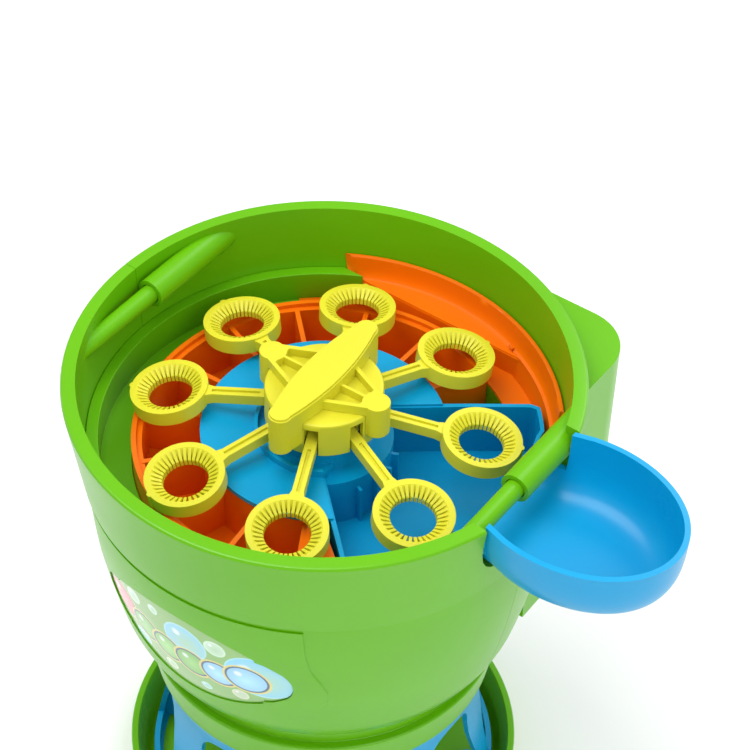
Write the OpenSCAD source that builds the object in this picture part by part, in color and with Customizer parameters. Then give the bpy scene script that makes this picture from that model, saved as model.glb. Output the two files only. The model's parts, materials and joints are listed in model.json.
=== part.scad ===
// Bubble machine: a round two-piece body on a waisted pedestal and a drip dish. Eight wands on a
// turning wheel dip into a solution tray, and then pass over a ring-shaped air outlet.
// +Z is up, the origin is the centre of the underside, the label faces -Y and the scoop points +X.

/* [Body] */
// Height from the underside to the top of the rim
total_h = 242; // [236:0.5:250]
// Outside radius of the rim
rim_r = 100; // [98:0.5:102]
// Wall thickness of the body shells
wall = 3; // [2.6:0.1:3.4]
// Gap left at the seam between the front and the rear shell
seam_gap = 0.2; // [0.1:0.05:0.4]

/* [Wheel] */
// Radius at which the centre of each wand ring sits
wand_r = 61.6; // [60:0.1:61.6]
// Outside diameter of a wand ring
ring_d = 31; // [29:0.1:31]
// Number of radial teeth inside a wand ring
ring_teeth = 36; // [24:1:40]
// Resting droop of the wands below level, in degrees
droop = 8.5; // [7.5:0.1:8.5]
// Angle of the wheel about the shaft at rest, in degrees
phase = 2; // [0:0.5:44]

/* [Fan] */
// Blades on the fan impeller
fan_blades = 12; // [8:1:16]

/* [Hidden] */

GREEN = [0.45, 0.78, 0.17];
BLUE = [0.0, 0.62, 0.85];
ORANGE = [1.0, 0.5, 0.05];
YELLOW = [0.9, 0.88, 0.25];
GREY = [0.75, 0.75, 0.78];
DARK = [0.15, 0.15, 0.17];
STEEL = [0.7, 0.7, 0.72];
BRASS = [0.8, 0.65, 0.3];

// Everything above the waist is placed down from the rim's top
T = total_h;
big = 400;

// --- body profile, depth d below the rim's top ---
band_d = 40;
function body_r(d) = d < band_d ? rim_r - 5.2 * d / band_d
    : rim_r - 6.3 - 0.0013 * pow(d - 41, 2) - 0.05 * (d - 41);
bowl_steps = [for (i = [0 : 12]) 41 + i * (115 - 41) / 12];
outer_pts = concat([[0, T], [rim_r - 1.5, T], [rim_r - 0.7, T - 0.35], [rim_r - 0.2, T - 1.2]],
    [[body_r(39.8), T - 39.8], [body_r(41), T - 40.1]],
    [for (d = bowl_steps) [body_r(d), T - d]],
    [[body_r(115) - 1.4, T - 119], [body_r(115) - 3.2, T - 122], [body_r(115) - 5.5, T - 124],
        [0, T - 124]]);
inner_pts = concat([[0, T + 1], [rim_r - 6, T + 1], [rim_r - 6, T - 0.6], [rim_r - 6.6, T - 14]],
    [[body_r(39.8) - wall, T - 39.8]],
    [for (d = bowl_steps) [body_r(d) - wall, T - d - 0.4]],
    [[body_r(115) - 8, T - 121], [0, T - 121]]);

// --- battery housing at the back ---
house_x0 = -54;
house_x1 = 79;
house_y = 102;
house_top = T - 14;
house_bot = T - 118;
house_r = 21;

bay_x = (house_x0 + house_x1) / 2;
door_w = 94;
door_h = 34;
door_z = T - 105;
door_gap = 0.3;

// --- side bosses that join the shells below the rim ---
boss_x = 87;
boss_z = T - 9.5;
boss_r = 6;
peg_r = 3.8;

// --- screw posts inside the shells ---
post_x = 66;
post_z = T - 100;

// --- scoop ---
// Elliptical in plan, drawn out to a narrower open end over the tray
scoop_x = 113;
scoop_a = 42.5;
scoop_b = 32.8;
scoop_x0 = 79.5;
scoop_half = 27.4;
scoop_top = T;
scoop_deep = 28;
scoop_wall = 2.2;
notch_half = 30.3;
// Height above the lowest point, and how far the outline is drawn in there
scoop_slices = [[0, 13], [0.8, 9.6], [2.2, 6.7], [4.5, 4.3], [8, 2.4], [13, 1.1], [19, 0.4]];

// --- wheel ---
hinge_r = 16;
hinge_z = T - 19.2;
peg_hole_r = 1.25;
drum_r = 23;
drum_top = T - 8;
ring_h = 6.3;
arm_w = 4.5;
arm_h = 4.7;

// --- deck levels ---
pan_z = T - 58;
tray_z = T - 57;
disc_z = T - 31;

// Tooth module and tooth counts of the drive gears
gear_m = 0.6;
pin_t = 12;
mid_t = 42;
out_t = 48;

// --- gears: axes in plan, and the height of each mesh ---
pitch_out = gear_m * (out_t + pin_t) / 2;
pitch_mid = gear_m * (mid_t + pin_t) / 2;
dir2 = 20;
dir1 = -60;
dirm = 20;
g2 = [pitch_out * cos(dir2), pitch_out * sin(dir2)];
g1 = g2 + [pitch_mid * cos(dir1), pitch_mid * sin(dir1)];
gm = g1 + [pitch_mid * cos(dirm), pitch_mid * sin(dirm)];
box_top = T - 62;
box_bot = T - 89.5;
mesh_a = box_top - 8;
mesh_b = mesh_a - 7;
mesh_c = mesh_b - 7;
gear_t = 5;

// --- fan ---
fan = [-50, 0];
fan_bot = T - 90;
fan_h = 24;
duct_top = T - 61.2;
fan_r = 31;

// --- pedestal and dish, height above the underside ---
waist = [[74.6, 4.4], [76, 6], [76.2, 9], [75.9, 12], [73.9, 22], [71.6, 32], [69.9, 42],
    [68.4, 52], [67.8, 62], [68.1, 72], [69.3, 82], [69.3, 92]];
dish_h = 20.6;

// ---------- shared shapes ----------
module tube(r_out, r_in, h) {
    difference() {
        cylinder(r = r_out, h = h, $fn = 128);
        translate([0, 0, -1]) cylinder(r = r_in, h = h + 2, $fn = 128);
    }
}

module ring_sector(r_in, r_out, a0, a1, z, h) {
    translate([0, 0, z]) rotate([0, 0, a0]) rotate_extrude(angle = a1 - a0, $fn = 160)
        translate([r_in, 0]) square([r_out - r_in, h]);
}

module half(front) {
    y0 = front ? -big - seam_gap / 2 : seam_gap / 2;
    translate([-big / 2, y0, -10]) cube([big, big, 300]);
}

module house2d(inset) {
    r = house_r - inset;
    x0 = house_x0 + inset;
    x1 = house_x1 - inset;
    y = house_y - inset;
    translate([x0, 0]) square([x1 - x0, y - r]);
    translate([x0 + r, 0]) square([x1 - x0 - 2 * r, y]);
    for (x = [x0 + r, x1 - r]) translate([x, y - r]) circle(r = r, $fn = 96);
}

module scoop2d(inset, x0) {
    polygon(concat([[x0, inset - scoop_half]],
        [for (i = [-20 : 20]) [scoop_x + (scoop_a - inset) * cos(5 * i), (scoop_b - inset) * sin(5 * i)]],
        [[x0, scoop_half - inset]]));
}

module scoop_form(inset, low, high, x0) {
    hull() {
        for (p = scoop_slices)
            translate([0, 0, scoop_top - scoop_deep + low + p[0]]) linear_extrude(height = 0.05)
                scoop2d(inset + p[1], x0);
        translate([0, 0, scoop_top + high - 0.05]) linear_extrude(height = 0.05) scoop2d(inset, x0);
    }
}

// ---------- body shells ----------
module body_blank() {
    difference() {
        union() {
            rotate_extrude($fn = 180) polygon(outer_pts);
            intersection() {
                translate([0, 0, house_bot]) linear_extrude(height = house_top - house_bot)
                    house2d(0);
                translate([-big / 2, 30, 0]) cube([big, big, big]);
            }
        }
        rotate_extrude($fn = 180) polygon(inner_pts);
        difference() {
            intersection() {
                translate([0, 0, house_bot + wall])
                    linear_extrude(height = house_top - house_bot - 2 * wall) house2d(wall);
                translate([-big / 2, 30, 0]) cube([big, big, big]);
            }
            translate([0, 0, T - 34]) cylinder(r = 97.5, h = 60, $fn = 160);
        }
        scoop_notch();
    }
}

// The notch follows the scoop's cross-section with a small gap all round
module scoop_notch() {
    g = 0.45;
    side = concat([[notch_half + g, 60]],
        [for (i = [len(scoop_slices) - 1 : -1 : 0])
            [notch_half - scoop_slices[i][1] + g, scoop_slices[i][0] - g]]);
    translate([70, 0, scoop_top - scoop_deep]) rotate([90, 0, 90]) linear_extrude(height = 60)
        polygon(concat(side, [for (i = [len(side) - 1 : -1 : 0]) [-side[i][0], side[i][1]]]));
}

module boss_sleeves() {
    for (s = [-1, 1])
        intersection() {
            difference() {
                translate([s * boss_x, seam_gap / 2, boss_z]) rotate([-90, 0, 0])
                    cylinder(r = boss_r, h = 60, $fn = 64);
                translate([s * boss_x, -1, boss_z]) rotate([-90, 0, 0])
                    cylinder(r = peg_r + 0.35, h = 16, $fn = 48);
            }
            rotate_extrude($fn = 180) polygon(outer_pts);
        }
}

module boss_pegs() {
    for (s = [-1, 1])
        intersection() {
            translate([s * boss_x, 12, boss_z]) rotate([90, 0, 0]) cylinder(r = peg_r, h = 60, $fn = 48);
            rotate_extrude($fn = 180) polygon(outer_pts);
        }
}

module label2d(grow) {
    intersection() {
        translate([0, -37.5]) circle(r = 62.5 + grow, $fn = 120);
        translate([0, 37.5]) circle(r = 62.5 + grow, $fn = 120);
        union() {
            square([66, 80], center = true);
            for (s = [-1, 1]) translate([s * 30.5, 0]) circle(r = 14.5 + grow, $fn = 72);
        }
    }
}

// Raised panel round the label
module badge2d() {
    polygon([[-50.5, 37.5], [50.5, 37.5], [50.5, 22], [51.6, 12], [54.2, 3], [55.4, -3], [54.6, -10],
        [51.4, -18], [46, -24], [38, -28], [24, -30.6], [0, -31.6], [-24, -30.6], [-38, -28],
        [-46, -24], [-51.4, -18], [-54.6, -10], [-55.4, -3], [-54.2, 3], [-51.6, 12], [-50.5, 22]]);
}

module grown_body(g) {
    rotate_extrude($fn = 180) polygon(concat([[0, T - 41.5], [body_r(41) + g, T - 41.5]],
        [for (d = bowl_steps) if (d > 42) [body_r(d) + g, T - d]], [[0, T - 115]]));
}

module front_prism(h) {
    translate([0, h, T - 80]) rotate([90, 0, 0]) linear_extrude(height = 200) children();
}

module front_shell() {
    color(GREEN) {
        difference() {
            union() {
                intersection() {
                    body_blank();
                    half(true);
                }
                intersection() {
                    difference() {
                        grown_body(0.7);
                        grown_body(-1);
                    }
                    front_prism(-40) badge2d();
                }
            }
            difference() {
                intersection() {
                    grown_body(3);
                    front_prism(-40) label2d(0);
                }
                grown_body(-0.6);
            }
            for (s = [-1, 1])
                translate([s * post_x, 0, post_z]) rotate([90, 0, 0])
                    cylinder(r = 1.3, h = 16, center = true, $fn = 32);
        }
        boss_pegs();
        intersection() {
            difference() {
                for (s = [-1, 1])
                    translate([s * post_x, -seam_gap / 2, post_z]) rotate([90, 0, 0])
                        cylinder(r = 4, h = 70, $fn = 40);
                for (s = [-1, 1])
                    translate([s * post_x, 1, post_z]) rotate([90, 0, 0]) cylinder(r = 1.3, h = 16, $fn = 32);
            }
            rotate_extrude($fn = 180) polygon([for (p = inner_pts) [p[0] == 0 ? 0 : p[0] + 1, p[1]]]);
        }
    }
}

module rear_shell() {
    color(GREEN) {
        difference() {
            union() {
                intersection() {
                    body_blank();
                    half(false);
                }
            }
            // battery door opening, switch opening and screw channel
            translate([bay_x - door_w / 2, house_y - wall - 1, door_z])
                cube([door_w, wall + 2, door_h]);
            translate([50, house_y - wall - 1, T - 52]) cube([12, wall + 2, 18]);
            for (s = [-1, 1])
                translate([s * post_x, -1, post_z]) rotate([-90, 0, 0]) cylinder(r = 1.7, h = 12, $fn = 32);
        }
        boss_sleeves();
        for (s = [-1, 1])
            difference() {
                translate([s * post_x, seam_gap / 2, post_z]) rotate([-90, 0, 0])
                    cylinder(r = 4, h = 30, $fn = 40);
                translate([s * post_x, -1, post_z]) rotate([-90, 0, 0]) cylinder(r = 1.7, h = 60, $fn = 32);
                translate([s * post_x, 8, post_z]) rotate([-90, 0, 0]) cylinder(r = 3, h = 60, $fn = 32);
            }
        for (s = [-1, 1]) translate([s * post_x, 0, T - 122]) translate([-1.2, 4.5, 0]) cube([2.4, 22, 18.4]);
    }
}

module label_panel() {
    color([0.85, 0.93, 0.9])
        difference() {
            intersection() {
                grown_body(0.1);
                front_prism(-40) label2d(-0.4);
            }
            grown_body(-0.5);
        }
}

module shell_screws() {
    color(STEEL)
        for (s = [-1, 1])
            translate([s * post_x, 8, post_z]) rotate([90, 0, 0]) {
                cylinder(r = 1.25, h = 14, $fn = 32);
                translate([0, 0, -2]) cylinder(r = 2.7, h = 2, $fn = 32);
            }
}

// ---------- inner decks ----------
module tray_wedge(grow, z0, z1) {
    translate([0, 0, z0]) linear_extrude(height = z1 - z0) tray2d(grow);
}

// Fan-shaped plan of the solution tray
module tray2d(g) {
    intersection() {
        polygon([[12 - g, 25.6 + g], [37.4 - g / 2, 45.3 + g], [56.6 - g / 2, 59.6 + g], [62, 60.6 + g],
            [66 + g, 58.4 + g / 2], [68.6 + g, 53], [69.4 + g, 47], [73, 33 + g], [90, 33 + g],
            [90, -33 - g], [73, -33 - g], [69.4 + g, -47], [68.6 + g, -53], [66 + g, -58.4 - g / 2],
            [62, -60.6 - g], [56.6 - g / 2, -59.4 - g], [47.3 - g / 2, -51.6 - g], [14 - g, -21.8 - g]]);
        circle(r = 85.5 + g, $fn = 160);
    }
}

// Low floor under the air ring, with a shallower step around it
module splash_pan() {
    color(GREEN)
        difference() {
            rotate_extrude($fn = 180)
                polygon([[30, pan_z - 2], [77, pan_z - 2], [77, T - 46], [89, T - 46], [89, T - 31.6],
                    [92.2, T - 31.6], [92.2, T - 30], [87.5, T - 30], [87.5, T - 44], [75.2, T - 44],
                    [75.2, pan_z], [30, pan_z]]);
            tray_wedge(0.6, pan_z - 4, T);
            duct_hole(0.3, pan_z - 4, 6);
            // the rear deck takes the place of the ledge
            ring_sector(86.9, 95, deck_a0 - 0.4, 68, T - 44, 20);
            intersection() {
                ring_sector(86.9, 95, 61, 132, T - 44, 20);
                translate([-90, deck_y - 0.4, 0]) cube([180, 60, big]);
            }
        }
}

// Air passage from the fan, grown by `g` on every side
duct_r0 = 53;
duct_r1 = 67;
duct_a0 = 162.3;
duct_a1 = 202.5;
module duct_hole(g, z, h) {
    ring_sector(duct_r0 - g, duct_r1 + g, duct_a0 - g, duct_a1 + g, z, h);
}

vane_first = 66;
vane_step = 23.4;
vane_count = 11;

// Places a shape on the line that ends the air ring beside the tray; the tray is on its +Y side
module deck_edge() {
    translate([24.9, -36]) rotate(-37.5) children();
}

module air_duct_ring() {
    a0 = vane_first;
    a1 = vane_first + vane_step * (vane_count - 1);
    color(ORANGE) {
        difference() {
            union() {
                ring_sector(46.4, 75, a0, a1, pan_z, 2);
                ring_sector(46.4, 47.9, a0, a1, pan_z, 24.6);
                ring_sector(73, 75, a0, a1, pan_z, 25);
                ring_sector(70.8, 73.1, a0, a1, pan_z, 23.2);
            }
            duct_hole(-1.8, pan_z - 1, 4);
        }
        for (i = [0 : vane_count - 1])
            rotate([0, 0, a0 + i * vane_step])
                translate([47.5, i == 0 ? 0 : i == vane_count - 1 ? -2 : -1, pan_z + 1])
                    cube([24.3, 2, 22.6]);
        // flat end deck, cut off along a line beside the tray
        difference() {
            union() {
                ring_sector(46.4, 75, a1, 322, T - 35, 2);
                ring_sector(46.4, 47.9, a1, 322, pan_z, 24.6);
                ring_sector(73, 75, a1, 322, pan_z, 25);
                intersection() {
                    ring_sector(46.4, 75, a1, 322, pan_z, 24.6);
                    translate([0, 0, pan_z]) linear_extrude(height = 24.6)
                        deck_edge() translate([-10, -2]) square([100, 5]);
                }
            }
            translate([0, 0, pan_z - 1]) linear_extrude(height = 40)
                deck_edge() translate([-50, 0]) square([200, 100]);
            rotate([0, 0, -54.9]) translate([60.7, 0, T - 33.6]) cylinder(r = 1.5, h = 3, $fn = 32);
        }
        // riser for the air from the fan
        difference() {
            duct_hole(-0.3, duct_top, pan_z - duct_top + 1);
            duct_hole(-1.8, pan_z - 4, 6);
        }
    }
}

deck_y = 78.7;
deck_top = T - 32.4;
deck_a0 = 37;
module deck_front() {
    translate([-90, deck_y, 0]) cube([180, 60, big]);
}

// The deck's wall and the rounded foot of its inner face
module deck_wall(a0, a1) {
    rotate([0, 0, a0]) rotate_extrude(angle = a1 - a0, $fn = 180)
        polygon([[86.3, T - 44], [89.8, T - 44], [91.9, T - 30.4], [92.5, T - 22.6], [92.1, T - 22.1],
            [91.3, T - 22.1], [90.8, T - 22.7], [90.3, T - 28.5], [89.8, T - 30.8], [88.9, T - 32],
            [87.6, deck_top], [87.6, deck_top - 1.8], [86.3, T - 42.6]]);
}

module rear_deck() {
    color(ORANGE) {
        difference() {
            deck_wall(deck_a0, 130);
            translate([-180, deck_y - 200, 0]) cube([180, 200, big]);
        }
        intersection() {
            ring_sector(70, 87.9, 45, 130, deck_top - 1.8, 1.8);
            deck_front();
        }
        // front face
        intersection() {
            ring_sector(70, 88, deck_a0, 130, T - 44, deck_top - T + 43);
            translate([-90, deck_y - 0.15, 0]) cube([180, 1.95, big]);
        }
        // low floor between the ring and the wall
        difference() {
            ring_sector(75.3, 87.2, deck_a0, 134, T - 44, 1.1);
            tray_wedge(0.6, pan_z, T);
            translate([-90, deck_y + 1, 0]) cube([180, 60, big]);
        }
        translate([33, 81.4, deck_top - 0.2]) cylinder(r = 1.1, h = 1, $fn = 32);
    }
}

disc_r = 48.2;
collar_r = 27.2;
cam_r = 19.3;
module solution_tray() {
    color(BLUE) {
        difference() {
            union() {
                translate([0, 0, disc_z - 2]) tube(disc_r, collar_r - 1, 2);
                translate([0, 0, pan_z]) tube(46.2, 44.8, 26);
                translate([0, 0, T - 38]) cylinder(r = collar_r - 0.6, h = 6.4, $fn = 128);
                translate([0, 0, pan_z]) tube(collar_r, collar_r - 1.5, 30);
                translate([0, 0, T - 36]) tube(cam_r, cam_r - 2, 13.6);
                translate([0, 0, disc_z - 8]) cylinder(r = 8, h = 9, $fn = 64);
            }
            tray_cut();
            translate([0, 0, disc_z - 20]) cylinder(r = 4, h = 40, $fn = 64);
            // the collar and the floor inside it step down over the tray
            difference() {
                tray_wedge(-1, T - 35, T);
                translate([0, 0, T - 40]) cylinder(r = cam_r - 0.3, h = 60, $fn = 128);
            }
            // low sector of the cam ring
            intersection() {
                tray_wedge(6, T - 26.7, T);
                translate([0, 0, T - 26.7]) tube(cam_r + 1, cam_r - 3, 40);
            }
        }
        // tray walls and floor
        difference() {
            tray_wedge(0, tray_z - 1.5, T - 32);
            tray_wedge(-1.6, tray_z, T);
            translate([0, 0, tray_z - 5]) cylinder(r = collar_r - 1, h = 60, $fn = 128);
            translate([74, -60, T - 32.8]) cube([40, 120, 40]);
        }
        for (a = [-24, -8, 8, 24])
            rotate([0, 0, a]) translate([collar_r - 0.4, -0.6, tray_z - 0.5]) cube([3, 1.2, 18]);
    }
}

// Everything of the disc that the open tray takes away
module tray_cut() {
    difference() {
        tray_wedge(-1.6, tray_z, T);
        translate([0, 0, tray_z - 5]) cylinder(r = collar_r, h = 80, $fn = 128);
    }
}

module filling_scoop() {
    color(BLUE)
        difference() {
            scoop_form(0, 0, 0, scoop_x0);
            scoop_form(scoop_wall, scoop_wall, 1, scoop_x0 - 1);
            // low under the side joint
            translate([70, -50, T - 17]) cube([boss_x + boss_r + 0.6 - 70, 100, 60]);
        }
}

// ---------- drive ----------
// Involute gear with a little backlash, tooth 0 centred on +X
press_a = 25;
backlash = 0.07;
function inv(a) = tan(a) * 180 / PI - a;
function flank(r, rp) = let (rb = rp * cos(press_a)) r <= rb ? inv(press_a)
    : inv(press_a) - inv(acos(rb / r));
module gear2d(n, bore) {
    rp = gear_m * n / 2;
    ro = rp + 0.78 * gear_m;
    ri = rp - 1.1 * gear_m;
    rs = [ri, max(ri + 0.05, rp * cos(press_a)), rp, rp + 0.4 * gear_m, ro];
    hw = [for (r = rs) 90 / n + flank(r, rp) - backlash / rp * 180 / PI];
    difference() {
        polygon([for (i = [0 : n - 1], k = [-5 : 4])
            let (m = k < 0 ? k + 5 : 4 - k, a = 360 / n * i + (k < 0 ? -hw[m] : hw[m]))
            [rs[m] * cos(a), rs[m] * sin(a)]]);
        circle(r = bore, $fn = 48);
    }
}

module gear(n, bore, z, h, a) {
    translate([0, 0, z]) rotate([0, 0, a]) linear_extrude(height = h) gear2d(n, bore);
}

// Angle that puts a gap of the second gear opposite a tooth of the first along direction d
function mesh_angle(n1, a1, n2, d) =
    let (t1 = (d - a1) / (360 / n1), f = t1 - floor(t1))
    d + 180 + (f + 0.5) * 360 / n2 ;

a_out = 0;
a_pin2 = mesh_angle(out_t, a_out, pin_t, dir2);
a_mid2 = 0;
a_pin1 = mesh_angle(mid_t, a_mid2, pin_t, dir1);
a_mid1 = 0;
a_pinm = mesh_angle(mid_t, a_mid1, pin_t, dirm);

module output_gear() {
    color(GREY) {
        gear(out_t, 2.02, mesh_a, gear_t, a_out);
        translate([0, 0, mesh_a + gear_t - 0.01]) tube(4, 2.02, 2);
    }
}

module second_gear() {
    color(GREY)
        translate([g2[0], g2[1], 0]) {
            gear(pin_t, 1.05, mesh_a - 0.5, gear_t + 1, a_pin2);
            gear(mid_t, 1.05, mesh_b, gear_t - 0.5, a_mid2);
            translate([0, 0, mesh_b + gear_t - 0.6]) tube(2.5, 1.05, 3.2);
        }
}

module first_gear() {
    color(GREY)
        translate([g1[0], g1[1], 0]) {
            gear(pin_t, 1.05, mesh_b - 0.5, gear_t + 0.5, a_pin1);
            gear(mid_t, 1.05, mesh_c, gear_t - 0.5, a_mid1);
            translate([0, 0, mesh_c + gear_t - 0.6]) tube(2.5, 1.05, 3.2);
        }
}

module motor_pinion() {
    color(BRASS)
        translate([gm[0], gm[1], 0]) {
            gear(pin_t, 0.9, mesh_c - 0.5, gear_t + 1, a_pinm);
            translate([0, 0, mesh_c - 8]) cylinder(r = 0.95, h = 13, $fn = 32);
        }
}

module drive_shaft() {
    color(STEEL) translate([0, 0, mesh_a - 3]) cylinder(r = 2, h = T - 10.6 - mesh_a + 3, $fn = 48);
}

module shaft_bush() {
    color(BRASS)
        difference() {
            union() {
                translate([0, 0, disc_z - 8]) cylinder(r = 4, h = 9, $fn = 64);
                translate([0, 0, disc_z + 1]) cylinder(r = 5.2, h = 1.2, $fn = 64);
            }
            translate([0, 0, disc_z - 20]) cylinder(r = 2.05, h = 40, $fn = 48);
        }
}

box_x = [-17.9, 54.1];
box_y = [-24, 22.5];
module box2d(inset) {
    translate([box_x[0] + inset, box_y[0] + inset])
        square([box_x[1] - box_x[0] - 2 * inset, box_y[1] - box_y[0] - 2 * inset]);
}

module gearbox_housing() {
    color(GREY)
        difference() {
            union() {
                translate([0, 0, box_bot]) linear_extrude(height = box_top - box_bot) box2d(0);
                translate([gm[0], gm[1], box_bot - 6]) tube(13, 10.2, 7);
            }
            translate([0, 0, box_bot + 2.5]) linear_extrude(height = 60) box2d(2);
            // bearing of the drive shaft, seats of the gear pins and the motor opening
            translate([0, 0, box_bot - 10]) cylinder(r = 2.05, h = 30, $fn = 48);
            for (g = [g1, g2]) translate([g[0], g[1], box_bot - 10]) cylinder(r = 1, h = 30, $fn = 32);
            translate([gm[0], gm[1], box_bot - 10]) cylinder(r = 3.5, h = 30, $fn = 48);
        }
    color(GREY)
        difference() {
            union() {
                translate([0, 0, box_bot + 2.4]) cylinder(r = 4, h = mesh_a - 0.6 - box_bot - 2.4, $fn = 48);
                translate([g2[0], g2[1], box_bot + 2.4])
                    cylinder(r = 2.4, h = mesh_b - 0.4 - box_bot - 2.4, $fn = 40);
                translate([g1[0], g1[1], box_bot + 2.4])
                    cylinder(r = 2.4, h = mesh_c - 0.4 - box_bot - 2.4, $fn = 40);
            }
            translate([0, 0, box_bot - 10]) cylinder(r = 2.05, h = 60, $fn = 48);
            for (g = [g1, g2]) translate([g[0], g[1], box_bot - 10]) cylinder(r = 1, h = 60, $fn = 32);
        }
}

module gearbox_cover() {
    color(GREY)
        difference() {
            translate([0, 0, box_top]) linear_extrude(height = 2) box2d(0);
            translate([0, 0, box_top - 5]) cylinder(r = 4.3, h = 30, $fn = 48);
            for (g = [g1, g2]) translate([g[0], g[1], box_top - 5]) cylinder(r = 1, h = 30, $fn = 32);
        }
}

module gear_pins() {
    color(STEEL)
        for (g = [g1, g2])
            translate([g[0], g[1], box_bot]) cylinder(r = 1, h = box_top - box_bot + 2, $fn = 32);
}

module motor_can(r, h, bore) {
    difference() {
        cylinder(r = r, h = h, $fn = 64);
        translate([0, 0, h - 3]) cylinder(r = bore, h = 4, $fn = 32);
    }
    translate([0, 0, -1.6]) cylinder(r = r * 0.35, h = 1.7, $fn = 40);
    for (s = [-1, 1]) translate([s * r * 0.6 - 0.3, -1, -3]) cube([0.6, 2, 3.2]);
}

module drive_motor() {
    color(STEEL) translate([gm[0], gm[1], box_bot - 25.1]) motor_can(10.1, 25, 1);
}

// ---------- fan ----------
module fan_housing() {
    color(DARK)
        translate([fan[0], fan[1], fan_bot])
            difference() {
                union() {
                    cylinder(r = fan_r, h = fan_h, $fn = 128);
                    translate([-fan[0], -fan[1], 0])
                        duct_hole(0.6, fan_h - 1, duct_top - fan_bot - fan_h + 1);
                }
                translate([0, 0, 2]) cylinder(r = fan_r - 2, h = fan_h - 4, $fn = 128);
                translate([-fan[0], -fan[1], 0]) duct_hole(-1.5, fan_h - 5, 40);
                translate([0, 0, -1]) cylinder(r = 18, h = 5, $fn = 96);
            }
}

module fan_cover() {
    color(DARK)
        translate([fan[0], fan[1], fan_bot]) {
            tube(18, 16.5, 2);
            tube(11, 9.5, 2);
            difference() {
                cylinder(r = 4, h = 2, $fn = 48);
                translate([0, 0, -1]) cylinder(r = 1.05, h = 5, $fn = 32);
            }
            for (a = [0 : 90 : 270]) rotate([0, 0, a]) translate([3.5, -0.8, 0]) cube([13.5, 1.6, 2]);
        }
}

module fan_motor() {
    color(STEEL) translate([fan[0], fan[1], fan_bot - 24.2]) {
        difference() {
            cylinder(r = 9, h = 22, $fn = 64);
            translate([0, 0, 19]) cylinder(r = 1.05, h = 4, $fn = 32);
        }
        for (s = [-1, 1]) translate([s * 5.5 - 0.3, -1, -3]) cube([0.6, 2, 3.2]);
        for (a = [45 : 90 : 315]) rotate([0, 0, a]) translate([7.4, -1, 21]) cube([1.6, 2, 3.2]);
    }
}

module fan_impeller() {
    color([0.9, 0.9, 0.9])
        translate([fan[0], fan[1], fan_bot]) {
            translate([0, 0, -4]) cylinder(r = 1, h = 20, $fn = 32);
            translate([0, 0, 4]) cylinder(r = 5, h = 16, $fn = 48);
            translate([0, 0, 18.5]) cylinder(r = 27, h = 1.5, $fn = 96);
            for (i = [0 : fan_blades - 1])
                rotate([0, 0, i * 360 / fan_blades]) translate([14, -0.6, 4]) rotate([0, 0, 18])
                    cube([12, 1.2, 14.6]);
        }
}

// ---------- battery compartment ----------
cell_r = 7.1;
cell_l = 50.5;
cell_y = 89;
cell_z = [T - 96, T - 80];
bay_w = 108;

module battery_box() {
    color(DARK)
        difference() {
            intersection() {
                translate([bay_x - bay_w / 2 - 2, 79, cell_z[0] - 10])
                    cube([bay_w + 4, house_y - wall - 79, 36]);
                translate([0, 0, cell_z[0] - 20]) linear_extrude(height = 60) house2d(wall + 0.15);
            }
            translate([bay_x - bay_w / 2, 81, cell_z[0] - 8]) cube([bay_w, 40, 32]);
        }
    color(DARK)
        for (z = cell_z)
            translate([bay_x - 0.8, 80.9, z - 7]) cube([1.6, 6, 14]);
}

// One cell lying along X with its nub at the +X end
module cell() {
    rotate([0, 90, 0]) {
        translate([0, 0, -cell_l / 2]) cylinder(r = cell_r, h = cell_l - 1.2, $fn = 64);
        translate([0, 0, cell_l / 2 - 1.3]) cylinder(r = 2.7, h = 1.3, $fn = 32);
    }
}

module batteries() {
    color(DARK)
        for (s = [-1, 1], i = [0, 1])
            translate([bay_x + s * 26.3, cell_y, cell_z[i]]) rotate([0, 0, i == 0 ? 0 : 180]) cell();
}

// Sprung cups at the two ends of the bay
module contact_springs() {
    color(STEEL)
        for (s = [-1, 1], z = cell_z)
            translate([bay_x + s * bay_w / 2, cell_y, z]) rotate([0, -s * 90, 0])
                difference() {
                    cylinder(r1 = 5, r2 = 3.8, h = 2.3, $fn = 40);
                    translate([0, 0, 0.4]) cylinder(r1 = 4.4, r2 = 3.2, h = 2, $fn = 40);
                }
}

module battery_door() {
    w = door_w - 2 * door_gap;
    color(GREEN) translate([bay_x, 0, 0])
        difference() {
            union() {
                translate([-w / 2, house_y - wall, door_z + door_gap])
                    cube([w, wall, door_h - 2 * door_gap]);
                for (i = [-4 : 4])
                    translate([i * 5 - 1, house_y - 0.1, door_z + 5]) cube([2, 1.1, 14]);
            }
            translate([0, house_y - wall - 1, door_z + door_h - 5]) rotate([-90, 0, 0]) {
                cylinder(r = 1.55, h = 10, $fn = 32);
                translate([0, 0, 2.4]) cylinder(r = 3.1, h = 10, $fn = 32);
            }
        }
}

module door_screw() {
    color(STEEL)
        translate([bay_x, house_y - wall + 1.5, door_z + door_h - 5]) rotate([-90, 0, 0])
            difference() {
                union() {
                    cylinder(r = 2.8, h = 1.4, $fn = 40);
                    translate([0, 0, -1.5]) cylinder(r = 1.5, h = 1.6, $fn = 32);
                }
                translate([-2, -0.35, 0.8]) cube([4, 0.7, 2]);
                translate([-0.35, -2, 0.8]) cube([0.7, 4, 2]);
            }
}

module switch_plate() {
    color(DARK)
        difference() {
            union() {
                translate([50.3, house_y - wall, T - 51.7]) cube([11.4, wall, 17.4]);
                translate([51, house_y - wall - 8, T - 50]) cube([10, 8, 14]);
            }
            translate([53, house_y - wall - 5, T - 48]) cube([6, 12, 10]);
        }
}

module power_switch() {
    color([0.85, 0.15, 0.1]) {
        translate([53.05, house_y - wall - 3.5, T - 47.9]) cube([5.9, 5.5, 5.6]);
        for (i = [0 : 2])
            translate([53.4, house_y - 1.1, T - 47.3 + i * 1.8]) cube([5.2, 1.9, 0.9]);
    }
}

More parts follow.
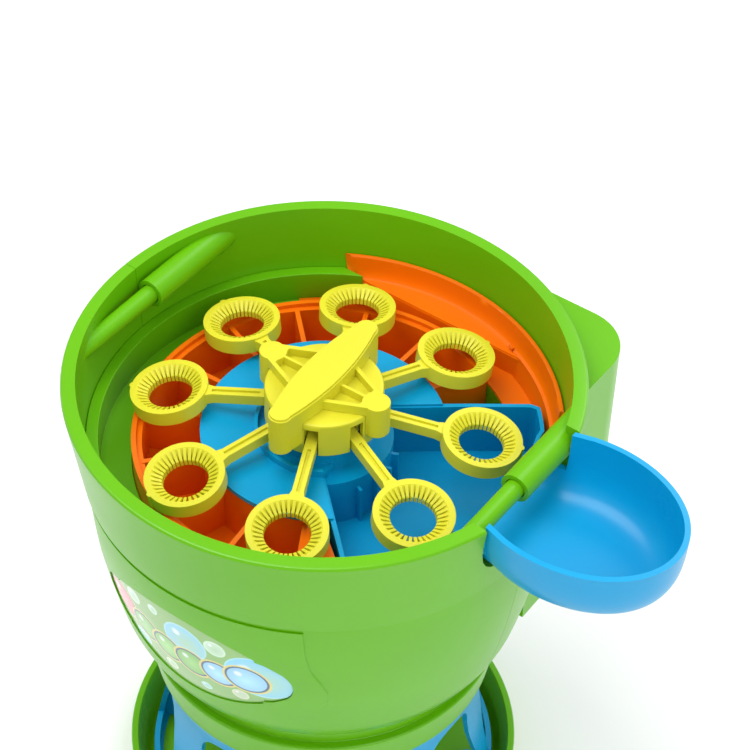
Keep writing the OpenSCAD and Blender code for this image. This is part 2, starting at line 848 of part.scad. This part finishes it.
module wire(points, r) {
    for (i = [0 : len(points) - 2])
        let (p = points[i], d = points[i + 1] - p, l = norm(d))
        translate(p) rotate([0, acos(d[2] / l), atan2(d[1], d[0])]) {
            cylinder(r = r, h = l, $fn = 24);
            sphere(r = 1.25 * r, $fn = 24);
        }
}

module wires() {
    color([0.8, 0.1, 0.1]) {
        wire([[30, 78.2, T - 104], [30, 60, T - 112], [gm[0] + 6.1, gm[1] + 10, box_bot - 30.5],
            [gm[0] + 6.1, gm[1] + 1.7, box_bot - 27]], 0.6);
        wire([[-30, 78.2, T - 104], [-40, 50, T - 116], [fan[0] + 5.5, fan[1] + 10, fan_bot - 28.5],
            [fan[0] + 5.5, fan[1] + 1.7, fan_bot - 26]], 0.6);
    }
}

// ---------- pedestal and base ----------
module neck_collar() {
    color(GREEN)
        difference() {
            rotate_extrude($fn = 180) polygon([[63, T - 156], [72, T - 156], [74.4, T - 141.5],
                [74.7, T - 139.2], [74, T - 138.5], [71.2, T - 138.2], [70.8, T - 124], [63, T - 124]]);
            translate([0, 0, T - 157]) cylinder(r = 60, h = 40, $fn = 160);
            rotate_extrude($fn = 180) polygon([[50, T - 160], [69.4, T - 160], [69.4, T - 150],
                [66.5, T - 150], [66.5, T - 128], [50, T - 128]]);
        }
}

// Arched opening, widest near its foot
module arch2d() {
    translate([0, 61.6]) circle(r = 13.9, $fn = 72);
    polygon([[-13.8, 61], [13.8, 61], [16, 48.5], [20, 34.5], [22, 24.5], [22.6, 12.5], [-22.6, 12.5],
        [-22, 24.5], [-20, 34.5], [-16, 48.5]]);
}

module pedestal() {
    color(BLUE) {
        difference() {
            rotate_extrude($fn = 180) polygon(concat(waist,
                [for (i = [len(waist) - 1 : -1 : 0]) [waist[i][0] - 2.4, waist[i][1]]]));
            for (k = [0 : 3])
                rotate([0, 0, k * 45]) rotate([90, 0, 0])
                    translate([0, 0, -90]) linear_extrude(height = 180) arch2d();
        }
        // screw bosses behind four of the pillars
        for (a = [22.5 : 90 : 292.5])
            rotate([0, 0, a]) difference() {
                union() {
                    translate([66, 0, 4.4]) cylinder(r = 4, h = 14, $fn = 40);
                    translate([66, -1.5, 4.4]) cube([8, 3, 13]);
                }
                translate([66, 0, 0]) cylinder(r = 1.55, h = 16, $fn = 32);
            }
    }
}

pad_r = 6;
module base_dish() {
    color(GREEN)
        difference() {
            rotate_extrude($fn = 180) polygon([[0, 0], [78, 0], [79.6, 0.8], [80.6, 3], [85.2, dish_h - 1.5],
                [85.7, dish_h - 0.6], [85.3, dish_h], [82.9, dish_h], [82.3, dish_h - 0.8], [78.4, 6],
                [76.8, 4.4], [0, 4.4]]);
            for (a = [22.5 : 90 : 292.5])
                rotate([0, 0, a]) translate([66, 0, -1]) {
                    cylinder(r = 1.7, h = 8, $fn = 32);
                    cylinder(r = 3.3, h = 3.2, $fn = 40);
                }
            for (a = [0 : 90 : 270])
                rotate([0, 0, a]) translate([66, 0, -1]) cylinder(r = pad_r, h = 2.2, $fn = 64);
        }
}

module foot_pads() {
    color(DARK)
        for (a = [0 : 90 : 270])
            rotate([0, 0, a]) translate([66, 0, 0]) cylinder(r = pad_r - 0.1, h = 1.2, $fn = 64);
}

module base_screws() {
    color(STEEL)
        for (a = [22.5 : 90 : 292.5])
            rotate([0, 0, a]) translate([66, 0, 0.7]) {
                cylinder(r = 1.5, h = 14, $fn = 32);
                cylinder(r = 3, h = 1.5, $fn = 40);
            }
}

// ---------- wheel ----------
module lens2d(g) {
    intersection() {
        translate([105.75, 0]) circle(r = 113.75 + g, $fn = 240);
        translate([-105.75, 0]) circle(r = 113.75 + g, $fn = 240);
        translate([-20, -28.2]) square([40, 56.4]);
    }
    for (s = [-1, 1]) translate([0, s * 28.2]) circle(r = 4.65 + g, $fn = 64);
}

// Cross arm on +X: a triangle that narrows to a round button
module cross2d(g) {
    polygon([[5, 12.8 + g], [23.6, 4.6 + g], [26, 0], [23.6, -4.6 - g], [5, -12.8 - g]]);
    translate([24.4, 0]) circle(r = 5 + g, $fn = 48);
}

cross_top = T - 3.6;
module hub_cap() {
    color(YELLOW) rotate([0, 0, phase]) {
        // lens plate with a fine step under its edge
        translate([0, 0, T - 1.2]) linear_extrude(height = 1.2) lens2d(-0.5);
        difference() {
            translate([0, 0, T - 18]) linear_extrude(height = 16.9) lens2d(0);
            translate([0, 0, T - 30]) cylinder(r = drum_r + 0.15, h = 22.05, $fn = 128);
        }
        for (a = [0, 180])
            rotate([0, 0, a])
                difference() {
                    translate([0, 0, T - 18]) linear_extrude(height = cross_top - T + 18) cross2d(0);
                    translate([0, 0, T - 30]) cylinder(r = drum_r + 0.15, h = 22.05, $fn = 128);
                    // two pockets with a thin rib between them
                    translate([0, 0, T - 7.4]) linear_extrude(height = 10) difference() {
                        polygon([[5, 11], [19.6, 4.5], [19.6, -4.5], [5, -11]]);
                        translate([0, -0.6]) square([30, 1.2]);
                        translate([24.4, 0]) circle(r = 5.8, $fn = 48);
                    }
                }
    }
}

module wand_hub() {
    color(YELLOW) rotate([0, 0, phase]) {
        difference() {
            union() {
                // drum roof with a rounded shoulder
                rotate_extrude($fn = 128) polygon([[0, drum_top - 2.5], [drum_r, drum_top - 2.5],
                    [drum_r, drum_top - 1.1], [drum_r - 0.4, drum_top - 0.35], [drum_r - 1.2, drum_top],
                    [0, drum_top]]);
                translate([0, 0, T - 23.6]) tube(drum_r, drum_r - 2, 13.4);
                translate([0, 0, T - 24]) cylinder(r = 6, h = 14, $fn = 64);
                for (k = [0 : 7]) rotate([0, 0, 22.5 + 45 * k]) hinge_lugs();
            }
            for (k = [0 : 7])
                rotate([0, 0, 22.5 + 45 * k]) {
                    translate([drum_r - 6, -arm_w / 2 - 0.6, T - 30]) cube([12, arm_w + 1.2, 19.4]);
                    translate([hinge_r, 0, hinge_z]) rotate([90, 0, 0])
                        cylinder(r = peg_hole_r, h = 20, center = true, $fn = 32);
                }
            translate([0, 0, T - 30]) cylinder(r = 2.01, h = 19.4, $fn = 48);
        }
    }
}

module hinge_lugs() {
    for (s = [-1, 1])
        translate([0, s * (arm_w / 2 + 1.15), 0]) {
            translate([hinge_r - 2.4, -0.6, hinge_z]) cube([4.8, 1.2, 8.9]);
            translate([hinge_r, 0, hinge_z]) rotate([90, 0, 0])
                cylinder(r = 2.4, h = 1.2, center = true, $fn = 40);
        }
}

// A wand drawn along +X, level, with its hinge at the origin; the ring is wand_r - hinge_r away
ring_x = (wand_r - hinge_r) / cos(droop);
module wand_shape() {
    rr = ring_d / 2;
    difference() {
        union() {
            translate([0, -arm_w / 2, -arm_h / 2]) cube([ring_x - rr + 2.5, arm_w, arm_h]);
            rotate([90, 0, 0]) cylinder(r = arm_h / 2, h = arm_w, center = true, $fn = 48);
            translate([ring_x, 0, -ring_h / 2]) cylinder(r = rr, h = ring_h, $fn = 96);
            translate([ring_x + rr - 0.6, 0, -ring_h / 2]) cylinder(r = 1.4, h = ring_h, $fn = 32);
            // flare where the arm meets the ring
            translate([0, 0, -arm_h / 2]) linear_extrude(height = arm_h)
                polygon([[ring_x - rr - 2.4, arm_w / 2], [ring_x - rr + 1.5, 3.4],
                    [ring_x - rr + 1.5, -3.4], [ring_x - rr - 2.4, -arm_w / 2]]);
        }
        // opening: the upper and lower faces slope in to a narrow throat
        translate([ring_x, 0, -ring_h]) cylinder(r = 10.9, h = 2 * ring_h, $fn = 96);
        translate([ring_x, 0, 0.4]) cylinder(r1 = 10.9, r2 = 13.1, h = ring_h / 2 - 0.4 + 0.01, $fn = 96);
        translate([ring_x, 0, -ring_h / 2 - 0.01]) cylinder(r1 = 12.3, r2 = 10.9, h = 1.31, $fn = 96);
        // long groove along the top of the arm
        translate([9, -0.7, arm_h / 2 - 1]) cube([ring_x - rr - 11, 1.4, 2]);
    }
    // radial ribs that slope in and end as teeth
    translate([ring_x, 0, 0])
        for (i = [0 : ring_teeth - 1])
            rotate([0, 0, i * 360 / ring_teeth])
                rotate([90, 0, 0]) translate([0, 0, -0.58]) linear_extrude(height = 1.16)
                    polygon([[11.3, -ring_h / 2 + 0.6], [13.4, ring_h / 2 - 0.25],
                        [12.6, ring_h / 2 - 0.25], [9.2, 0.9], [8.8, 0.3], [8.8, -ring_h / 2 + 0.9],
                        [9.3, -ring_h / 2 + 0.6]]);
    for (s = [-1, 1])
        rotate([90, 0, 0]) translate([0, 0, s * 2.8]) cylinder(r = 1.2, h = 1.6, center = true, $fn = 32);
}

module wand(k) {
    color(YELLOW)
        rotate([0, 0, phase + 22.5 + 45 * k]) translate([hinge_r, 0, hinge_z]) rotate([0, droop, 0])
            wand_shape();
}
module wand_1() { wand(0); }
module wand_2() { wand(1); }
module wand_3() { wand(2); }
module wand_4() { wand(3); }
module wand_5() { wand(4); }
module wand_6() { wand(5); }
module wand_7() { wand(6); }
module wand_8() { wand(7); }

front_shell();
rear_shell();
label_panel();
shell_screws();
splash_pan();
air_duct_ring();
rear_deck();
solution_tray();
filling_scoop();
shaft_bush();
gearbox_housing();
gearbox_cover();
gear_pins();
drive_motor();
fan_housing();
fan_cover();
fan_motor();
battery_box();
batteries();
contact_springs();
switch_plate();
wires();
neck_collar();
pedestal();
base_dish();
foot_pads();
base_screws();
wand_hub();
hub_cap();
drive_shaft();
output_gear();
wand_1();
wand_2();
wand_3();
wand_4();
wand_5();
wand_6();
wand_7();
wand_8();
second_gear();
first_gear();
motor_pinion();
fan_impeller();
power_switch();
battery_door();
door_screw();
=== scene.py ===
"""Bubble machine: finishes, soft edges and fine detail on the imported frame, with a studio around it."""

import json
import math

import bmesh
import bpy
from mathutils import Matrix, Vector


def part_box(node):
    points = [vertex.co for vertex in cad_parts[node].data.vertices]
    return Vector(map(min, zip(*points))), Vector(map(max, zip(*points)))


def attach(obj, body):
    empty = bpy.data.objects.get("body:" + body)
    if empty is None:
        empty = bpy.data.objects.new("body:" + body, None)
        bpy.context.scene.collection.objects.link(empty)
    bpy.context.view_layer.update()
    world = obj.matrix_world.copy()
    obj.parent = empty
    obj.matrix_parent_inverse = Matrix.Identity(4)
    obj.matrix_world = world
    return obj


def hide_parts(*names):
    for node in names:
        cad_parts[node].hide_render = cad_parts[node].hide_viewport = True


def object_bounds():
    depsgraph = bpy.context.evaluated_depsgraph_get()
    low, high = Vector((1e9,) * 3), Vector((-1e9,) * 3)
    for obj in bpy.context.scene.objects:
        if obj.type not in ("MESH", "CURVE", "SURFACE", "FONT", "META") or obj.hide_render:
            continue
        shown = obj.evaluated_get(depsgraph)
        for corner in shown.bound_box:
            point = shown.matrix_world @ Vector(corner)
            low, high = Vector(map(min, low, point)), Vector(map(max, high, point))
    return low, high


MM = 0.001
SCOOP_LENGTH = 42.5  # from the middle of the scoop's bowl to its tip, in millimetres
SCOOP_SPINE = 9.7  # half the length of the flat floor line that the scoop's sides close on
SCOOP_NECK_STEP = 4.3  # the spout is this much narrower, each side, than the bowl
SCOOP_WALL = 2.2
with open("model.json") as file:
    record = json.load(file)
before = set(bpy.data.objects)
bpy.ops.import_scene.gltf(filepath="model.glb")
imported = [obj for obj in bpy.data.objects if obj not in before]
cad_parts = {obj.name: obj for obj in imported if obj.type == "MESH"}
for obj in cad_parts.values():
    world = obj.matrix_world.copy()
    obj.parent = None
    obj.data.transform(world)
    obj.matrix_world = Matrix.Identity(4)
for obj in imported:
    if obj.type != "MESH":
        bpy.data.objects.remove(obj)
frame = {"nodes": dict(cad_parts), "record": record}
nodes = frame["nodes"]
cad_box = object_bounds()

WANDS = [f"wand_{k}" for k in range(1, 9)]


# ---------- materials ----------
def node_material(name):
    """A material with an empty node tree but for its output and a Principled shader."""
    mat = bpy.data.materials.new(name)
    mat.use_nodes = True
    tree = mat.node_tree
    shader = tree.nodes["Principled BSDF"]
    return mat, tree, shader


def link(tree, a, out, b, into):
    tree.links.new(a.outputs[out], b.inputs[into])


def noise(tree, scale, detail=3.0, rough=0.5):
    coords = tree.nodes.new("ShaderNodeTexCoord")
    tex = tree.nodes.new("ShaderNodeTexNoise")
    tex.inputs["Scale"].default_value = scale
    tex.inputs["Detail"].default_value = detail
    tex.inputs["Roughness"].default_value = rough
    link(tree, coords, "Object", tex, "Vector")
    return tex


def ramp(tree, source, low, high, value_low, value_high):
    """Maps a noise's low..high to value_low..value_high."""
    node = tree.nodes.new("ShaderNodeMapRange")
    node.inputs["From Min"].default_value = low
    node.inputs["From Max"].default_value = high
    node.inputs["To Min"].default_value = value_low
    node.inputs["To Max"].default_value = value_high
    link(tree, source, "Fac", node, "Value")
    return node


def plastic(name, color, rough=0.3, glow=0.1, grain=0.012):
    """Moulded plastic: faint colour drift, flow marks, uneven gloss and a fine skin."""
    mat, tree, shader = node_material(name)
    drift = noise(tree, 11.0)
    tint = tree.nodes.new("ShaderNodeMix")
    tint.data_type = "RGBA"
    tint.inputs[6].default_value = (*[c * 0.93 for c in color], 1)
    tint.inputs[7].default_value = (*[min(1, c * 1.07) for c in color], 1)
    link(tree, drift, "Fac", tint, "Factor")

    # flow marks: long faint bands left by the mould
    coords = tree.nodes.new("ShaderNodeTexCoord")
    stretch = tree.nodes.new("ShaderNodeMapping")
    stretch.inputs["Scale"].default_value = (9, 9, 38)
    link(tree, coords, "Object", stretch, "Vector")
    flow = tree.nodes.new("ShaderNodeTexNoise")
    flow.inputs["Scale"].default_value = 1.0
    flow.inputs["Detail"].default_value = 2.0
    link(tree, stretch, "Vector", flow, "Vector")
    shade = ramp(tree, flow, 0.3, 0.7, 0.965, 1.02)
    marked = tree.nodes.new("ShaderNodeVectorMath")
    marked.operation = "SCALE"
    link(tree, tint, 2, marked, "Vector")
    link(tree, shade, "Result", marked, "Scale")
    link(tree, marked, "Vector", shader, "Base Color")

    smear = noise(tree, 40.0, 1.0)
    gloss = ramp(tree, smear, 0.2, 0.8, rough * 0.9, rough * 1.12)
    link(tree, gloss, "Result", shader, "Roughness")
    skin = noise(tree, 320.0, 1.0)
    bump = tree.nodes.new("ShaderNodeBump")
    bump.inputs["Strength"].default_value = grain
    bump.inputs["Distance"].default_value = 0.0002
    link(tree, skin, "Fac", bump, "Height")
    link(tree, bump, "Normal", shader, "Normal")
    shader.inputs["Subsurface Weight"].default_value = glow
    shader.inputs["Subsurface Radius"].default_value = (0.004, 0.004, 0.002)
    shader.inputs["Subsurface Scale"].default_value = 0.4
    shader.inputs["Specular IOR Level"].default_value = 0.36
    return mat


# The label: bubbles as (x, z, radius) in millimetres from its centre, and their colours
BUBBLES = [
    (3, 9, 10, (0.25, 0.62, 0.85)),
    (33, 2, 13.5, (0.2, 0.6, 0.88)),
    (-24, 14, 4, (0.62, 0.8, 0.7)),
    (-12, 17, 2.6, (0.6, 0.8, 0.75)),
    (17, 14, 4.6, (0.55, 0.75, 0.6)),
    (-24, -14, 4.4, (0.35, 0.7, 0.85)),
    (-8, -17, 3.2, (0.6, 0.75, 0.5)),
    (9, -18, 2.4, (0.35, 0.7, 0.85)),
    (24, -14, 3.4, (0.6, 0.6, 0.45)),
    (-34, 2, 9.2, (0.8, 0.16, 0.2)),
    (-19.5, -2, 7.6, (0.22, 0.5, 0.12)),
    (-7.5, -4, 7.6, (0.25, 0.55, 0.14)),
    (4.5, -4.5, 7.8, (0.22, 0.5, 0.12)),
    (16.5, -3.5, 7.4, (0.3, 0.6, 0.85)),
    (28, -1, 8.4, (0.3, 0.6, 0.85)),
]


def label_print(name):
    """A clear film with printed bubbles: each has an outline, a body colour and a highlight."""
    mat, tree, shader = node_material(name)
    coords = tree.nodes.new("ShaderNodeTexCoord")
    low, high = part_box("label_panel")
    centre = ((low[0] + high[0]) / 2, (low[2] + high[2]) / 2)
    split = tree.nodes.new("ShaderNodeSeparateXYZ")
    link(tree, coords, "Object", split, "Vector")
    flat = tree.nodes.new("ShaderNodeCombineXYZ")
    link(tree, split, "X", flat, "X")
    link(tree, split, "Z", flat, "Z")

    film = noise(tree, 24.0, 2.0)
    base = tree.nodes.new("ShaderNodeMix")
    base.data_type = "RGBA"
    base.inputs[6].default_value = (0.2, 0.44, 0.1, 1)
    base.inputs[7].default_value = (0.3, 0.52, 0.18, 1)
    link(tree, film, "Fac", base, "Factor")
    last = (base, 2)

    def paint(x, z, low_mm, high_mm, color, amount=1.0):
        """Colours everything nearer to a point than a radius, with a soft edge."""
        nonlocal last
        gap = tree.nodes.new("ShaderNodeVectorMath")
        gap.operation = "DISTANCE"
        gap.inputs[1].default_value = (centre[0] + x * MM, 0, centre[1] + z * MM)
        link(tree, flat, "Vector", gap, 0)
        mask = tree.nodes.new("ShaderNodeMapRange")
        mask.inputs["From Min"].default_value = low_mm * MM
        mask.inputs["From Max"].default_value = high_mm * MM
        mask.inputs["To Min"].default_value = amount
        mask.inputs["To Max"].default_value = 0
        link(tree, gap, "Value", mask, "Value")
        mix = tree.nodes.new("ShaderNodeMix")
        mix.data_type = "RGBA"
        mix.inputs[7].default_value = (*color, 1)
        link(tree, last[0], last[1], mix, 6)
        link(tree, mask, "Result", mix, "Factor")
        last = (mix, 2)

    for n, (x, z, size, color) in enumerate(BUBBLES):
        front = n >= 9
        if front:
            paint(x, z, size + 0.9, size + 1.2, (0.72, 0.62, 0.2))
            paint(x, z, size, size + 0.3, (0.06, 0.12, 0.2))
            paint(x, z, size - 0.9, size - 0.6, color)
            paint(x, z - size * 0.1, 0, size - 1, tuple(min(1, c * 1.4 + 0.06) for c in color), 0.7)
        else:
            paint(x, z, size - 0.2, size + 0.2, tuple(min(1, c + 0.2) for c in color), 0.8)
            paint(x, z, size - 1, size - 0.4, color, 0.75)
            paint(x + size * 0.1, z - size * 0.1, 0, size, (0.42, 0.66, 0.4), 0.9)
        paint(x - size * 0.35, z + size * 0.38, size * 0.12, size * 0.24, (0.85, 0.92, 0.92), 0.8)
    link(tree, last[0], last[1], shader, "Base Color")
    smear = noise(tree, 90.0)
    gloss = ramp(tree, smear, 0.3, 0.7, 0.1, 0.2)
    link(tree, gloss, "Result", shader, "Roughness")
    shader.inputs["Coat Weight"].default_value = 0.3
    return mat


def metal(name, color, rough=0.28, streak=420.0):
    """Turned or drawn metal with fine streaks in its gloss."""
    mat, tree, shader = node_material(name)
    shader.inputs["Base Color"].default_value = (*color, 1)
    shader.inputs["Metallic"].default_value = 1.0
    lines = noise(tree, streak, 2.0)
    gloss = ramp(tree, lines, 0.3, 0.7, rough * 0.7, rough * 1.4)
    link(tree, gloss, "Result", shader, "Roughness")
    return mat


def rubber(name):
    mat, tree, shader = node_material(name)
    shader.inputs["Base Color"].default_value = (0.02, 0.02, 0.02, 1)
    dust = noise(tree, 60.0)
    gloss = ramp(tree, dust, 0.3, 0.7, 0.7, 0.95)
    link(tree, gloss, "Result", shader, "Roughness")
    return mat


def linear(r, g, b):
    """An 8-bit sRGB colour as linear values."""
    return tuple(
        ((c / 255 + 0.055) / 1.055) ** 2.4 if c > 10 else c / 255 / 12.92
        for c in (r, g, b)
    )


FINISH = {
    "green_plastic": plastic("green_plastic", linear(98, 174, 6)),
    "blue_plastic": plastic("blue_plastic", linear(0, 152, 206)),
    "orange_plastic": plastic("orange_plastic", linear(238, 112, 0)),
    "yellow_plastic": plastic("yellow_plastic", linear(212, 206, 44), rough=0.42, glow=0.2),
    "printed_label": label_print("printed_label"),
    "steel": metal("steel", (0.6, 0.6, 0.62)),
    "motor_steel": metal("motor_steel", (0.5, 0.5, 0.52), rough=0.4),
    "brass": metal("brass", (0.75, 0.55, 0.25)),
    "grey_plastic": plastic("grey_plastic", (0.6, 0.6, 0.62), rough=0.5),
    "black_plastic": plastic("black_plastic", (0.02, 0.02, 0.022), rough=0.45),
    "cell_wrap": plastic("cell_wrap", (0.05, 0.09, 0.2), rough=0.25),
    "red_plastic": plastic("red_plastic", linear(205, 30, 20), rough=0.4),
    "rubber": rubber("rubber"),
}

for part in frame["record"]["subparts"]:
    obj = nodes[part["node"]]
    obj.data.materials.clear()
    obj.data.materials.append(FINISH[part["material_slot"]])


# ---------- soft edges on the moulded parts ----------
def soften(name, width, segments=2, angle=32):
    """Rounds a CAD node's edges without moving its faces."""
    obj = nodes[name]
    weld = obj.modifiers.new("weld", "WELD")
    weld.merge_threshold = 0.00001
    bevel = obj.modifiers.new("bevel", "BEVEL")
    bevel.width = width
    bevel.segments = segments
    bevel.limit_method = "ANGLE"
    bevel.angle_limit = math.radians(angle)
    bevel.miter_outer = "MITER_ARC"
    bevel.harden_normals = True
    for poly in obj.data.polygons:
        poly.use_smooth = True
    normals = obj.modifiers.new("normals", "WEIGHTED_NORMAL")
    normals.keep_sharp = True
    return obj


EDGES = {
    "front_shell": 0.5,
    "rear_shell": 0.5,
    "splash_pan": 0.3,
    "air_duct_ring": 0.3,
    "rear_deck": 0.4,
    "solution_tray": 0.3,
    "wand_hub": 0.25,
    "hub_cap": 0.4,
    "neck_collar": 0.4,
    "pedestal": 0.4,
    "base_dish": 0.4,
    "battery_door": 0.3,
    "power_switch": 0.2,
    "gearbox_housing": 0.3,
    "fan_housing": 0.3,
}
for name, width in EDGES.items():
    soften(name, width * MM)
for name in WANDS:
    soften(name, 0.22 * MM, segments=2, angle=28)


# ---------- filling scoop ----------
def new_piece(name, mesh, slot, body, material=None):
    obj = bpy.data.objects.new(name, mesh)
    bpy.context.collection.objects.link(obj)
    obj.data.materials.append(material or FINISH[slot])
    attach(obj, body)
    return obj


def apply_all(obj):
    """Turns an object's modifiers into plain mesh."""
    graph = bpy.context.evaluated_depsgraph_get()
    mesh = bpy.data.meshes.new_from_object(obj.evaluated_get(graph))
    obj.modifiers.clear()
    obj.data = mesh


def curve_through(points, steps):
    """A smooth (Catmull-Rom) curve through (a, b) points."""
    out = []
    for i in range(len(points) - 1):
        before = points[max(i - 1, 0)]
        start, end = points[i], points[i + 1]
        after = points[min(i + 2, len(points) - 1)]
        for k in range(steps):
            t = k / steps
            out.append(tuple(
                0.5 * (2 * q + (r - p) * t + (2 * p - 5 * q + 4 * r - s) * t * t
                       + (3 * q - p - 3 * r + s) * t ** 3)
                for p, q, r, s in zip(before, start, end, after)
            ))
    out.append(points[-1])
    return out


def scoop():
    """A smooth bowl, drawn out into a spout that runs under the side joint into the tray."""
    low, high = (Vector(v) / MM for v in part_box("filling_scoop"))
    tip, start, half = high.x, low.x, high.y
    centre = tip - SCOOP_LENGTH
    neck = half - SCOOP_NECK_STEP
    deep = high.z - low.z
    # inset from the rim and height above the lowest point, from the rim down
    profile = curve_through([(0, deep), (0.35, 19.5), (1.2, 13), (2.9, 8), (5.2, 4.5), (8.2, 2.2),
                             (12, 0.8), (17, 0.15), (23, 0), (half, 0)], 4)

    # half the outline from the spout's end round to the tip, as (x, half width, x on the floor line)
    join = math.pi - math.asin(neck / half)
    neck_x = centre + SCOOP_LENGTH * math.cos(join)
    neck_floor = centre + SCOOP_SPINE * math.cos(join)
    straight, turns = 9, 44
    outline = []
    for k in range(straight):
        part = k / straight
        outline.append((start + (neck_x - start) * part, neck, start + (neck_floor - start) * part))
    for k in range(turns + 1):
        angle = join * (1 - k / turns)
        outline.append((centre + SCOOP_LENGTH * math.cos(angle), half * math.sin(angle),
                        centre + SCOOP_SPINE * math.cos(angle)))
    # ease the change from neck to bowl
    for _ in range(6):
        outline = [outline[0]] + [
            tuple((a + 2 * b + c) / 4 for a, b, c in zip(outline[i - 1], outline[i], outline[i + 1]))
            if abs(i - straight - 0.5) < 4 else outline[i] for i in range(1, len(outline) - 1)
        ] + [outline[-1]]

    form = bmesh.new()
    rows = []
    for x, y, spine in outline:
        row = []
        for side in (1, -1):
            line = profile if side == 1 else profile[-2::-1]
            for inset, height in line:
                part = inset / half
                row.append(form.verts.new((
                    (x + (spine - x) * part) * MM, side * y * (1 - part) * MM, (low.z + height) * MM)))
        rows.append(row)
    for a, b in zip(rows, rows[1:]):
        for i in range(len(a) - 1):
            form.faces.new((a[i], b[i], b[i + 1], a[i + 1]))
    bmesh.ops.remove_doubles(form, verts=form.verts, dist=0.00002)
    bmesh.ops.recalc_face_normals(form, faces=form.faces)
    if sum(f.normal.z for f in form.faces) > 0:
        bmesh.ops.reverse_faces(form, faces=form.faces)
    mesh = bpy.data.meshes.new("scoop_form")
    form.to_mesh(mesh)
    form.free()

    obj = new_piece("scoop_form", mesh, "blue_plastic", "body")
    thick = obj.modifiers.new("wall", "SOLIDIFY")
    thick.thickness = SCOOP_WALL * MM
    thick.offset = -1
    thick.use_even_offset = False
    apply_all(obj)

    # lower walls under the side joint
    cut_low = Vector((start - 7.5, -50, high.z - 17))
    cut_size = Vector((21.6, 100, 30))
    box = bmesh.new()
    bmesh.ops.create_cube(box, size=1)
    for v in box.verts:
        corner = (v.co[i] + 0.5 for i in range(3))
        v.co = Vector(a + size * part for a, size, part in zip(cut_low, cut_size, corner)) * MM
    cutter_mesh = bpy.data.meshes.new("scoop_cut")
    box.to_mesh(cutter_mesh)
    box.free()
    cutter = bpy.data.objects.new("scoop_cut", cutter_mesh)
    bpy.context.collection.objects.link(cutter)
    cut = obj.modifiers.new("cut", "BOOLEAN")
    cut.object = cutter
    cut.solver = "EXACT"
    apply_all(obj)
    bpy.data.objects.remove(cutter)

    soft = obj.modifiers.new("bevel", "BEVEL")
    soft.width = 0.55 * MM
    soft.segments = 3
    soft.limit_method = "ANGLE"
    soft.angle_limit = math.radians(50)
    apply_all(obj)
    for poly in obj.data.polygons:
        poly.use_smooth = True
    normals = obj.modifiers.new("normals", "WEIGHTED_NORMAL")
    normals.keep_sharp = True
    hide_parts("filling_scoop")
    return obj


scoop()


# ---------- studio ----------
def area_light(name, place, target, size, power, color=(1, 1, 1)):
    data = bpy.data.lights.new(name, "AREA")
    data.shape = "DISK"
    data.size = size
    data.energy = power
    data.color = color
    lamp = bpy.data.objects.new(name, data)
    lamp.location = place
    lamp.rotation_euler = (Vector(target) - Vector(place)).to_track_quat("-Z", "Y").to_euler()
    bpy.context.collection.objects.link(lamp)
    return lamp


def studio():
    low = Vector(cad_box[0])
    bpy.ops.mesh.primitive_plane_add(size=12, location=(0, 0, low.z - 0.0002))
    floor = bpy.context.object
    floor.name = "studio_floor"
    mat, tree, shader = node_material("studio_floor")
    shader.inputs["Base Color"].default_value = (0.9, 0.9, 0.9, 1)
    shader.inputs["Roughness"].default_value = 0.9
    floor.data.materials.append(mat)

    # a white surround that lights and shows fully, but is mirrored only faintly
    world = bpy.data.worlds.new("studio")
    world.use_nodes = True
    tree = world.node_tree
    white = tree.nodes["Background"]
    white.inputs["Color"].default_value = (1, 1, 1, 1)
    path = tree.nodes.new("ShaderNodeLightPath")
    dim = tree.nodes.new("ShaderNodeMapRange")
    dim.inputs["To Min"].default_value = 0.8
    dim.inputs["To Max"].default_value = 0.25
    link(tree, path, "Is Glossy Ray", dim, "Value")
    link(tree, dim, "Result", white, "Strength")
    bpy.context.scene.world = world
    area_light("key", (-0.35, -0.3, 1.6), (0, 0, 0.15), 1.1, 14)
    area_light("fill", (1.0, -0.4, 1.0), (0, 0, 0.15), 0.9, 5)
    area_light("back", (0.1, 1.2, 1.3), (0, 0, 0.2), 0.9, 7)
    bpy.context.scene.view_settings.view_transform = "Standard"
    bpy.context.scene.view_settings.look = "None"


def camera():
    """The eye stands in front of the scoop side, looking down at the wheel."""
    data = bpy.data.cameras.new("camera")
    data.sensor_width = 36
    data.lens = 105.6
    data.shift_x = 0.0783
    data.clip_end = 20
    cam = bpy.data.objects.new("camera", data)
    cam.location = (0.3589, -0.4761, 0.8222)
    cam.rotation_euler = (math.radians(45.62), 0, math.radians(37.3))
    bpy.context.collection.objects.link(cam)
    bpy.context.scene.camera = cam


studio()
camera()
